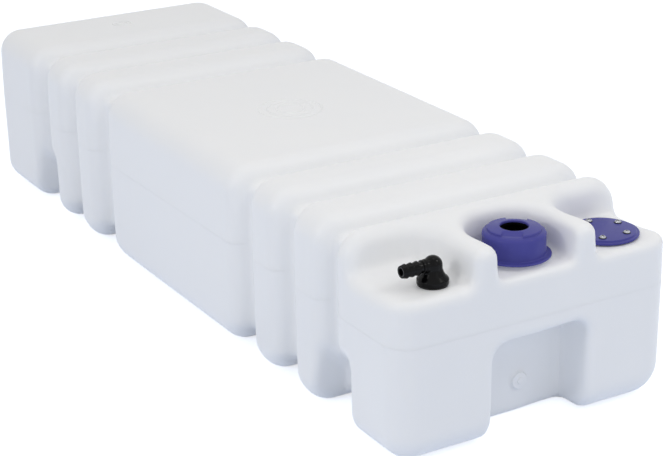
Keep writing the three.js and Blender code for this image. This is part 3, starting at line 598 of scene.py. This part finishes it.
seam = {"height": 167.0, "width": 5.0, "proud": 0.22, "sunk": 0.6}
drainBoss = {"x": 12.0, "height": 47.5, "radius": 12.0, "thickness": 4.0, "foot": 16.0, "footSunk": 3.0,
             "pipRadius": 4.5, "pipHeight": 1.5, "segments": 64}
rings = {"width": 3.0, "proud": 0.8, "sunk": 1.2, "segments": 96,
         "groups": [("centreRings", (-9.0, -42.0), (50.0, 36.0, 22.0)),
                    ("endRings", (-10.0, 584.0), (17.0, 10.0))]}


def makeSeam():
    # the moulding's parting line, a low soft ridge all round
    line = skinLine(tank["grooveDepth"], tank["blockRearEdge"], tank["blockEdge"], 0, tank["endRadius"])
    half = tank["width"] / 2
    right = [(half - inset, frontY + y) for y, inset in line if inset < half]
    loop = np.array(right + [(-x, y) for x, y in reversed(right)])
    loop = loop[np.linalg.norm(loop - np.roll(loop, 1, 0), axis=1) > 0.01]
    ahead = np.roll(loop, -1, 0) - np.roll(loop, 1, 0)
    outward = np.stack([ahead[:, 1], -ahead[:, 0]], 1) / np.linalg.norm(ahead, axis=1)[:, None]
    foot, slope, crest = -seam["sunk"], -seam["sunk"] * 0.3, seam["proud"]
    # rows are (outwards, share of the width)
    rows = [(foot, -0.5), (slope, -0.3), (crest, 0), (slope, 0.3), (foot, 0.5)]
    points = np.concatenate([
        np.column_stack([loop + outward * out, np.full(len(loop), seam["height"] + up * seam["width"])])
        for out, up in rows])
    count = len(loop)
    faces = [[r * count + i, r * count + (i + 1) % count, (r + 1) % len(rows) * count + (i + 1) % count,
              (r + 1) % len(rows) * count + i] for r in range(len(rows)) for i in range(count)]
    piece = makePiece("partingSeam", points, faces, "polyethylene", sharp=80)
    finishPiece(piece, "tank", "polyethylene")


def makeDrainBoss():
    # a round boss on the recess's rear wall, undrilled, with a pip in its middle
    b = drainBoss
    pipTop = b["thickness"] + b["pipHeight"]
    path = filleted([(0, -b["footSunk"], 0), (b["foot"], -b["footSunk"], 0), (b["foot"], 0.1, 0),
                     (b["radius"], 0.4, 2.5), (b["radius"], b["thickness"], 1.5),
                     (b["pipRadius"], b["thickness"], 0.6), (b["pipRadius"], pipTop, 0.8), (0, pipTop, 0)], 5)
    points, faces = turnedMesh(path, b["segments"], closed=False)
    points = np.stack([points[:, 0], -points[:, 2], points[:, 1]], 1)
    points = placed(points, b["x"], frontY + tank["recessDepth"], b["height"])
    finishPiece(makePiece("drainBoss", points, faces, "polyethylene"), "tank", "polyethylene")


def makeRings():
    # plain raised rings moulded into the top
    half, low, high = rings["width"] / 2, tank["height"] - rings["sunk"], tank["height"]
    for name, middle, radii in rings["groups"]:
        parts = []
        for radius in radii:
            inner, outer = radius - half * 2, radius + half * 2
            path = filleted([(inner, low, 0), (outer, low, 0), (radius, high + rings["proud"] * 2, half),
                             (inner, low, 0)], 6)[:-1]
            points, faces = turnedMesh(path, rings["segments"])
            parts.append((placed(points, *middle), faces))
        finishPiece(makePiece(name, *joined(parts), "polyethylene", sharp=60), "tank", "polyethylene")


makeSeam()
makeDrainBoss()
makeRings()
print("shell details made")


# Filler parts

sleeve = {"bore": 15.2, "radius": 18.6, "lipBore": 13.6, "lip": 2.2, "round": 0.9,
          "flangeRadius": 37.7, "flangeThickness": 3.0, "segments": 128}
seal = {"bore": 18.9, "radius": 35.5, "rounds": (0.5, 0.7), "steps": 4, "segments": 128}
collar = {"bore": 39.0, "flangeRadius": 50.0, "flangeThickness": 3.0, "bodyRadius": 42.6, "shoulder": 6.0,
          "ringRadius": 36.0, "ringHeight": 3.0, "crown": 2.2, "proud": 1.0, "topThickness": 2.4,
          "hole": 19.0, "notchWidth": 28.0, "notchStart": 24.0, "notchAngle": 49.0,
          "notchRamp": 1.8, "notchCorner": 2.0, "notchFloor": 0.4, "notchFloorEdge": 0.8, "notchEdge": 0.9,
          "step": 1.0, "tableStep": 0.25, "tableReach": 60.0, "tableMargin": 8.0, "tableWindow": 14.0}


def makeSleeve():
    s = sleeve
    low, high = nodeHeights("filler_hose_sleeve")
    flangeLow = nodeHeights("filler_seal")[1]
    flangeTop = flangeLow + s["flangeThickness"]
    path = closedFillets([
        (s["bore"], low, 0.5), (s["radius"], low, 0.5), (s["radius"], flangeLow, 0.5),
        (s["flangeRadius"], flangeLow, 0.5), (s["flangeRadius"], flangeTop, 0.8),
        (s["radius"], flangeTop, 1.0), (s["radius"], high, s["round"]), (s["lipBore"], high, s["round"]),
        (s["lipBore"], high - s["lip"], 0.6), (s["bore"], high - 2 * s["lip"], 0.8)], 5)
    points, faces = turnedMesh(path, s["segments"])
    piece = makePiece("fillerSleeve", placed(points, *fillerAt), faces, "sleeveRubber")
    finishPiece(piece, "sleeve", "rubber", "filler_hose_sleeve")


def makeSeal():
    points, faces = flatRing(seal, *nodeHeights("filler_seal"))
    piece = makePiece("fillerSeal", placed(points, *fillerAt), faces, "rubber")
    finishPiece(piece, "sleeve", "rubber", "filler_seal")


def makeCollar():
    c = collar
    low, rim = nodeHeights("filler_collar")
    rim += c["proud"]
    ringTop = rim - c["crown"]
    ringLow = ringTop - c["ringHeight"]
    plateLow = ringLow - c["topThickness"]
    flangeTop = low + c["flangeThickness"]
    outline = closedFillets([
        (c["bore"], low, 0.5), (c["flangeRadius"], low, 1.4), (c["flangeRadius"], flangeTop, 1.4),
        (c["bodyRadius"], flangeTop, 1.8), (c["bodyRadius"], ringLow, c["shoulder"]),
        (c["ringRadius"], ringLow, 0.3), (c["ringRadius"], ringTop, 1.0), (c["hole"], rim, 1.2),
        (c["hole"], plateLow, 0.6), (c["bore"], plateLow, 2.0)], 7)
    margin = c["tableMargin"]
    section = profileField(outline + outline[:1], (0.0, low - margin), (c["tableReach"], rim + margin),
                           c["tableStep"], c["tableWindow"])
    cosine, sine = math.cos(math.radians(c["notchAngle"])), math.sin(math.radians(c["notchAngle"]))

    def field(p):
        x, y, z = p[:, 0] - fillerAt[0], p[:, 1] - fillerAt[1], p[:, 2]
        body = section(np.hypot(x, y), z)
        outward, across = np.abs(cosine * x + sine * y), np.abs(cosine * y - sine * x)
        ramp = (c["notchStart"] + (ringTop - z) * c["notchRamp"] - outward) / math.hypot(1, c["notchRamp"])
        notch = roundMax(ramp, across - c["notchWidth"] / 2, c["notchCorner"])
        notch = roundMax(notch, ringLow + c["notchFloor"] - z, c["notchFloorEdge"])
        return carve(body, notch, c["notchEdge"])

    reach = c["flangeRadius"]
    points, quads = surfaceNet(field, (fillerAt[0] - reach, fillerAt[1] - reach, low),
                               (fillerAt[0] + reach, fillerAt[1] + reach, rim), c["step"])
    piece = makePiece("fillerCollar", points, quads, "blue", sharp=70)
    finishPiece(piece, "collar", "blue_plastic", "filler_collar")


makeSleeve()
makeSeal()
makeCollar()
print("filler parts made")


# Hose elbow

elbow = {
    "baseRadius": 21.0, "baseThickness": 6.8, "bodyRadius": 12.5, "axisHeight": 25.4,
    "bellHeight": 14.0,  # the bell's corners are shares of its width and height, with a radius
    "bell": [(0.80, 0.16, 2.5), (0.48, 0.34, 5.0), (0.20, 0.64, 7.0), (0.0, 0.98, 9.0)],
    "crownSweep": 0.56, "crownSteps": 18, "bore": 4.8, "shankRadius": 10.4,
    "socketRadius": 7.4, "socketDepth": 15.0, "tailFillet": 1.6,
    "socketEdge": 0.5, "boreEdge": 0.3, "tipEdge": 0.7,
    "reach": 48.0, "stem": 7.5, "barb": 9.6, "lead": 8.2, "barbLength": 8.8, "barbs": 3,
    "firstCrest": 1.6, "crestWidth": 1.2, "crestDrop": 0.7, "leadGap": 2.4,
    "band": 9.4, "bandAt": (14.5, 17.5), "sleeveRadius": 9.6,
    "step": 0.62, "tableStep": 0.2, "tableMargin": 6.0, "tableWindow": 12.0,
}
elbowWasher = {"bore": padHoles["elbow"], "radius": 20.0, "rounds": (0.3, 0.6), "steps": 4, "segments": 96}


def tailLine():
    # outline of the hose tail as (reach, radius), from its tip back to the body
    e = elbow
    inside = -e["tableMargin"]
    line = [(e["reach"], inside, 0), (e["reach"], e["lead"], 0.4)]
    for i in range(e["barbs"]):
        crest = e["reach"] - (i + 1) * e["barbLength"] + e["firstCrest"]
        line += [(crest + e["barbLength"] - e["leadGap"], e["lead"], 0.2),
                 (crest + e["crestWidth"], e["barb"], 0.3), (crest, e["barb"], 0.2),
                 (crest - e["crestDrop"], e["stem"], 0.3)]
    near, far = e["bandAt"]
    line += [(far, e["stem"], 0.3), (far, e["band"], 0.6), (near, e["band"], 0.6),
             (near, e["stem"] + 0.4, 0.4), (e["bodyRadius"], e["sleeveRadius"], 0.8),
             (-4, e["sleeveRadius"], 2), (-4, inside, 0)]
    return filleted(line, 5)


def makeElbow():
    e = elbow
    low = nodeHeights("hose_elbow")[0]
    base = nodeHeights("elbow_outer_washer")[1]
    axis, bell = base + e["axisHeight"], base + e["baseThickness"]
    wide, narrow, margin = e["baseRadius"], e["bodyRadius"], e["tableMargin"]
    crown = [(narrow * math.cos(a), axis + narrow * math.sin(a))
             for a in np.linspace(0, math.pi * e["crownSweep"], e["crownSteps"])]
    corners = [(-margin, low, 0), (e["shankRadius"], low, 0.6), (e["shankRadius"], base, 0.4), (wide, base, 1.2),
               (wide, bell, 1.6)]
    corners += [(narrow + out * (wide - narrow), bell + up * e["bellHeight"], radius)
                for out, up, radius in e["bell"]]
    outline = filleted([*corners, (narrow, axis, 0)], 7) + crown[1:]
    upright = profileField(outline, (-2.0, low - margin), (30.0, axis + narrow + margin),
                           e["tableStep"], e["tableWindow"])
    level = profileField(tailLine(), (-8.0, -2.0), (e["reach"] + margin, 20.0),
                         e["tableStep"], e["tableWindow"])

    def field(p):
        x, y, z = p[:, 0] - elbowAt[0], p[:, 1] - elbowAt[1], p[:, 2]
        fromUpright, fromLevel = np.hypot(x, y), np.hypot(y, z - axis)
        body = roundMin(upright(fromUpright, z), level(-x, fromLevel), e["tailFillet"])
        socket = np.maximum(fromUpright - e["socketRadius"], z - low - e["socketDepth"])
        body = carve(body, socket, e["socketEdge"])
        body = carve(body, np.maximum(fromUpright - e["bore"], z - axis), e["boreEdge"])
        return carve(body, np.maximum(fromLevel - e["bore"], x), e["tipEdge"])

    points, quads = surfaceNet(field, (elbowAt[0] - e["reach"], elbowAt[1] - wide, low),
                               (elbowAt[0] + wide, elbowAt[1] + wide, axis + narrow + 1), e["step"])
    piece = makePiece("hoseElbow", points, quads, "black", sharp=75)
    finishPiece(piece, "elbow", "black_plastic", "hose_elbow")


def makeElbowWasher():
    points, faces = flatRing(elbowWasher, *nodeHeights("elbow_outer_washer"))
    piece = makePiece("elbowWasher", placed(points, *elbowAt), faces, "rubber")
    finishPiece(piece, "tank", "rubber", "elbow_outer_washer")


makeElbow()
makeElbowWasher()
print("hose elbow made")


# Inspection cover

cover = {"radius": 49.5, "rimWidth": 4.5, "rimThickness": 3.0, "thickness": 5.0, "slope": 0.6,
         "segments": 160}
gasket = {"bore": 25.5, "radius": 44.0, "hole": 2.9, "rounds": (0.4, 0.5), "steps": 4, "segments": 128}
backing = {"bore": 27.0, "radius": 42.0, "hole": 2.7, "rounds": (0.4, 0.5), "steps": 4, "segments": 128}
screwWasher = {"bore": 2.9, "radius": 5.4, "rounds": (0.15, 0.2), "steps": 3, "segments": 48}
screw = {
    "headRadius": 4.7, "headHeight": 3.0, "crown": 6.2, "headEdge": 0.6, "headFoot": 0.3,
    "slotWidth": 1.15, "slotLength": 5.4, "slotDepth": 1.7, "slotEdge": 0.12,
    "slotTaper": 0.22, "slotSideTaper": 0.4,  # the sides' share of the ends' taper
    "shank": 2.4, "valley": 1.95, "pitch": 0.8, "tip": 1.0, "runout": 1.2, "sunk": 0.4, "segments": 20,
    "step": 0.24, "turnStep": 2.1,  # each screw's cross is turned on from the one before
}


def makeCover():
    low = nodeHeights("inspection_cover")[0]
    high, rimTop = low + cover["thickness"], low + cover["rimThickness"]
    rim, slope = cover["radius"] - cover["rimWidth"], cover["slope"]
    path = filleted([(0, low, 0), (cover["radius"], low, 0.8), (cover["radius"], rimTop, 1.1),
                     (rim + slope, rimTop, 0.7), (rim - slope, high, 0.9), (0, high, 0)], 6)
    points, faces = turnedMesh(path, cover["segments"], closed=False)
    piece = makePiece("inspectionCover", placed(points, *coverAt), faces, "blue")
    bored(piece, screwHoles(padHoles["screw"], low, high))
    finishPiece(piece, "cover", "blue_plastic", "inspection_cover")


def makeCoverRing(name, node, size, finish, slotName):
    low, high = nodeHeights(node)
    points, faces = flatRing(size, low, high)
    piece = makePiece(name, placed(points, *coverAt), faces, finish)
    bored(piece, screwHoles(size["hole"], low, high))
    finishPiece(piece, "tank", slotName, node)


def makeScrewPattern():
    # one screw standing on the origin, head up, with its cross recess
    s = screw
    low, headLow = nodeHeights("cover_screw_1")[0], nodeHeights("screw_washer_1")[1]
    sphereAt = headLow + s["headHeight"] - s["crown"]

    def field(p):
        x, y, z = p[:, 0], p[:, 1], p[:, 2]
        reach = np.hypot(x, y)
        dome = np.sqrt(reach ** 2 + (z - sphereAt) ** 2) - s["crown"]
        head = roundMax(reach - s["headRadius"], dome, s["headEdge"])
        head = roundMax(head, headLow - z, s["headFoot"])
        deep = headLow + s["headHeight"] - s["slotDepth"] - z
        taper = np.clip(-deep, 0, s["slotDepth"]) * s["slotTaper"]
        slots = []
        for along, across in ((x, y), (y, x)):
            sides = np.abs(across) - s["slotWidth"] / 2 - taper * s["slotSideTaper"]
            ends = np.abs(along) - s["slotLength"] / 2 - taper
            slots.append(np.maximum(np.maximum(sides, ends), deep))
        return carve(head, np.minimum(*slots), s["slotEdge"])

    reach = s["headRadius"]
    head = surfaceNet(field, (-reach, -reach, headLow), (reach, reach, headLow + s["headHeight"]), s["step"])
    line = [(0, low), (s["shank"] - s["tip"], low), (s["valley"], low + s["tip"])]
    turns = int((headLow - low - s["runout"]) / s["pitch"])
    for i in range(turns):
        place = low + s["tip"] + i * s["pitch"]
        line += [(s["shank"], place + s["pitch"] * 0.45), (s["valley"], place + s["pitch"] * 0.95)]
    line += [(s["valley"], headLow + s["sunk"]), (0, headLow + s["sunk"])]
    return joined([head, turnedMesh(line, s["segments"], closed=False)])


def makeRingTree():
    # copies of one piece round a circle, each turned on by a step
    tree = bpy.data.node_groups.new("piecesRoundACircle", "GeometryNodeTree")
    for name, kind in (("Geometry", "Geometry"), ("Pattern", "Object"), ("Count", "Int"), ("Radius", "Float"),
                       ("First Angle", "Float"), ("Middle", "Vector"), ("Turn Step", "Float"),
                       ("Finish", "Material")):
        tree.interface.new_socket(name, in_out="INPUT", socket_type="NodeSocket" + kind)
    tree.interface.new_socket("Geometry", in_out="OUTPUT", socket_type="NodeSocketGeometry")
    nodes = tree.nodes
    given, result = addNode(nodes, "NodeGroupInput"), addNode(nodes, "NodeGroupOutput")
    circle = addNode(nodes, "GeometryNodeMeshCircle")
    turn = addNode(nodes, "ShaderNodeCombineXYZ")
    move = addNode(nodes, "GeometryNodeTransform")
    index = addNode(nodes, "GeometryNodeInputIndex")
    spin = addNode(nodes, "ShaderNodeMath", operation="MULTIPLY")
    spinVector = addNode(nodes, "ShaderNodeCombineXYZ")
    pattern = addNode(nodes, "GeometryNodeObjectInfo")
    copies = addNode(nodes, "GeometryNodeInstanceOnPoints")
    real = addNode(nodes, "GeometryNodeRealizeInstances")
    coat = addNode(nodes, "GeometryNodeSetMaterial")
    for source, output, target, socket in (
            (given, "Count", circle, "Vertices"), (given, "Radius", circle, "Radius"),
            (given, "First Angle", turn, "Z"), (circle, "Mesh", move, "Geometry"),
            (turn, "Vector", move, "Rotation"), (given, "Middle", move, "Translation"),
            (index, 0, spin, 0), (given, "Turn Step", spin, 1), (spin, 0, spinVector, "Z"),
            (given, "Pattern", pattern, "Object"), (move, "Geometry", copies, "Points"),
            (pattern, "Geometry", copies, "Instance"), (spinVector, "Vector", copies, "Rotation"),
            (copies, "Instances", real, "Geometry"), (real, "Geometry", coat, "Geometry"),
            (given, "Finish", coat, "Material"), (coat, "Geometry", result, "Geometry")):
        tree.links.new(source.outputs[output], target.inputs[socket])
    return tree


ringTree = makeRingTree()


def makeRoundCover(name, points, faces, finish, slotName, nodeName, turnStep):
    # the same piece at every screw of the cover
    pattern = makePiece(name + "Pattern", points, faces, finish)
    holder = bpy.data.objects.new(name, bpy.data.meshes.new(name))
    bpy.context.scene.collection.objects.link(holder)
    maker = holder.modifiers.new("round", "NODES")
    maker.node_group = ringTree
    settings = {
        "Pattern": pattern, "Count": screwRing["count"], "Radius": screwRing["radius"] * millimetre,
        "First Angle": math.radians(screwRing["firstAngle"]), "Turn Step": turnStep,
        "Middle": (coverAt[0] * millimetre, coverAt[1] * millimetre, 0.0), "Finish": finishes[finish],
    }
    for item in ringTree.interface.items_tree:
        if item.name in settings:
            maker[item.identifier] = settings[item.name]
    applied(holder)
    bpy.data.objects.remove(pattern)
    replaced = [nodeName + str(i + 1) for i in range(screwRing["count"])]
    finishPiece(holder, "cover", slotName, *replaced)


makeCover()
makeCoverRing("coverGasket", "cover_gasket", gasket, "rubber", "rubber")
makeCoverRing("backingRing", "cover_backing_ring", backing, "steel", "stainless_steel")
screwPattern = makeScrewPattern()
makeRoundCover("coverScrews", *screwPattern, "steel", "stainless_steel", "cover_screw_", screw["turnStep"])
washerPattern = flatRing(screwWasher, *nodeHeights("screw_washer_1"))
makeRoundCover("screwWashers", *washerPattern, "rubber", "rubber", "screw_washer_", 0.0)
print("inspection cover made")


# Parts inside the tank, kept as the frame has them

innerParts = {"elbow_inner_washer": "rubber", "elbow_backnut": "black", "suction_tube": "white",
              "suction_strainer": "white"}
for nodeName, finish in innerParts.items():
    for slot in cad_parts[nodeName].material_slots:
        slot.material = finishes[finish]
print("inner parts finished")


# Stage, light and camera

stage = {
    "cameraPlace": (-1.327079, -2.417667, 1.127400), "cameraTurn": (68.9670, 0.8059, -30.6685),
    "focalLength": 98.476, "sensorWidth": 36.0,
    "floorSize": 30.0, "floorColour": (0.72, 0.79, 0.93), "floorGlow": 0.66,
    "floorBelow": 0.0005, "worldColour": (0.995, 0.995, 1.0), "worldStrength": 0.645,
}


def makeCamera():
    data = bpy.data.cameras.new("camera")
    data.lens = stage["focalLength"]
    data.sensor_width = stage["sensorWidth"]
    data.clip_end = 100
    camera = bpy.data.objects.new("camera", data)
    camera.location = stage["cameraPlace"]
    camera.rotation_euler = Euler([math.radians(a) for a in stage["cameraTurn"]])
    bpy.context.scene.collection.objects.link(camera)
    bpy.context.scene.camera = camera


def seenDirectly(nodes, links):
    # 1 for camera, glossy and transmission rays
    path = addNode(nodes, "ShaderNodeLightPath")
    first = addNode(nodes, "ShaderNodeMath", operation="MAXIMUM")
    second = addNode(nodes, "ShaderNodeMath", operation="MAXIMUM")
    links.new(path.outputs["Is Camera Ray"], first.inputs[0])
    links.new(path.outputs["Is Glossy Ray"], first.inputs[1])
    links.new(first.outputs[0], second.inputs[0])
    links.new(path.outputs["Is Transmission Ray"], second.inputs[1])
    return second.outputs[0]


def makeFloor():
    half = stage["floorSize"] / 2
    mesh = bpy.data.meshes.new("floor")
    corners = [(-half, -half, 0), (half, -half, 0), (half, half, 0), (-half, half, 0)]
    mesh.from_pydata(corners, [], [(0, 1, 2, 3)])
    material = bpy.data.materials.new("paleFloor")
    material.use_nodes = True
    nodes, links = material.node_tree.nodes, material.node_tree.links
    nodes.clear()
    diffuse = addNode(nodes, "ShaderNodeBsdfDiffuse", {"Color": (*stage["floorColour"], 1)})
    glow = addNode(nodes, "ShaderNodeEmission")
    strength = addNode(nodes, "ShaderNodeMath", operation="MULTIPLY")
    links.new(seenDirectly(nodes, links), strength.inputs[0])
    strength.inputs[1].default_value = stage["floorGlow"]
    links.new(strength.outputs[0], glow.inputs["Strength"])
    both = addNode(nodes, "ShaderNodeAddShader")
    out = addNode(nodes, "ShaderNodeOutputMaterial")
    links.new(diffuse.outputs[0], both.inputs[0])
    links.new(glow.outputs[0], both.inputs[1])
    links.new(both.outputs[0], out.inputs["Surface"])
    mesh.materials.append(material)
    floor = bpy.data.objects.new("floor", mesh)
    floor.location.z = -stage["floorBelow"]
    bpy.context.scene.collection.objects.link(floor)


def makeWorld():
    world = bpy.data.worlds.new("studio")
    bpy.context.scene.world = world
    world.use_nodes = True
    nodes, links = world.node_tree.nodes, world.node_tree.links
    nodes.clear()
    light = addNode(nodes, "ShaderNodeBackground", {
        "Color": (*stage["worldColour"], 1), "Strength": stage["worldStrength"]})
    backdrop = addNode(nodes, "ShaderNodeBackground", {"Color": (1, 1, 1, 1), "Strength": 1.0})
    mix = addNode(nodes, "ShaderNodeMixShader")
    out = addNode(nodes, "ShaderNodeOutputWorld")
    links.new(seenDirectly(nodes, links), mix.inputs["Fac"])
    links.new(light.outputs[0], mix.inputs[1])
    links.new(backdrop.outputs[0], mix.inputs[2])
    links.new(mix.outputs[0], out.inputs["Surface"])


warm, cool = (1, 0.99, 0.97), (0.88, 0.93, 1)
lamps = [
    {"name": "leftSoftbox", "place": (-2.3, -0.9, 1.25), "aim": (0, -0.3, 0.2),
     "size": 0.35, "power": 7.5, "colour": warm},
    {"name": "rightSoftbox", "place": (0.95, -1.6, 1.75), "aim": (0, -0.6, 0.2),
     "size": 0.35, "power": 4.5, "colour": warm},
    {"name": "overheadSoftbox", "place": (0.1, -0.6, 1.9), "aim": (0, -0.4, 0.2),
     "size": 0.9, "power": 1.8, "colour": warm},
    {"name": "frontFill", "place": (0.4, -3.2, 1.3), "aim": (0, -0.6, 0.2),
     "size": 1.4, "power": 2, "colour": cool},
]


def makeLamps():
    for lamp in lamps:
        data = bpy.data.lights.new(lamp["name"], "AREA")
        data.shape = "DISK"
        data.size = lamp["size"]
        data.energy = lamp["power"]
        data.color = lamp["colour"]
        light = bpy.data.objects.new(lamp["name"], data)
        light.location = lamp["place"]
        aim = Vector(lamp["aim"]) - Vector(lamp["place"])
        light.rotation_euler = aim.to_track_quat("-Z", "Y").to_euler()
        bpy.context.scene.collection.objects.link(light)


makeCamera()
makeFloor()
makeWorld()
makeLamps()
bpy.context.scene.view_settings.view_transform = "Standard"
print("stage set")
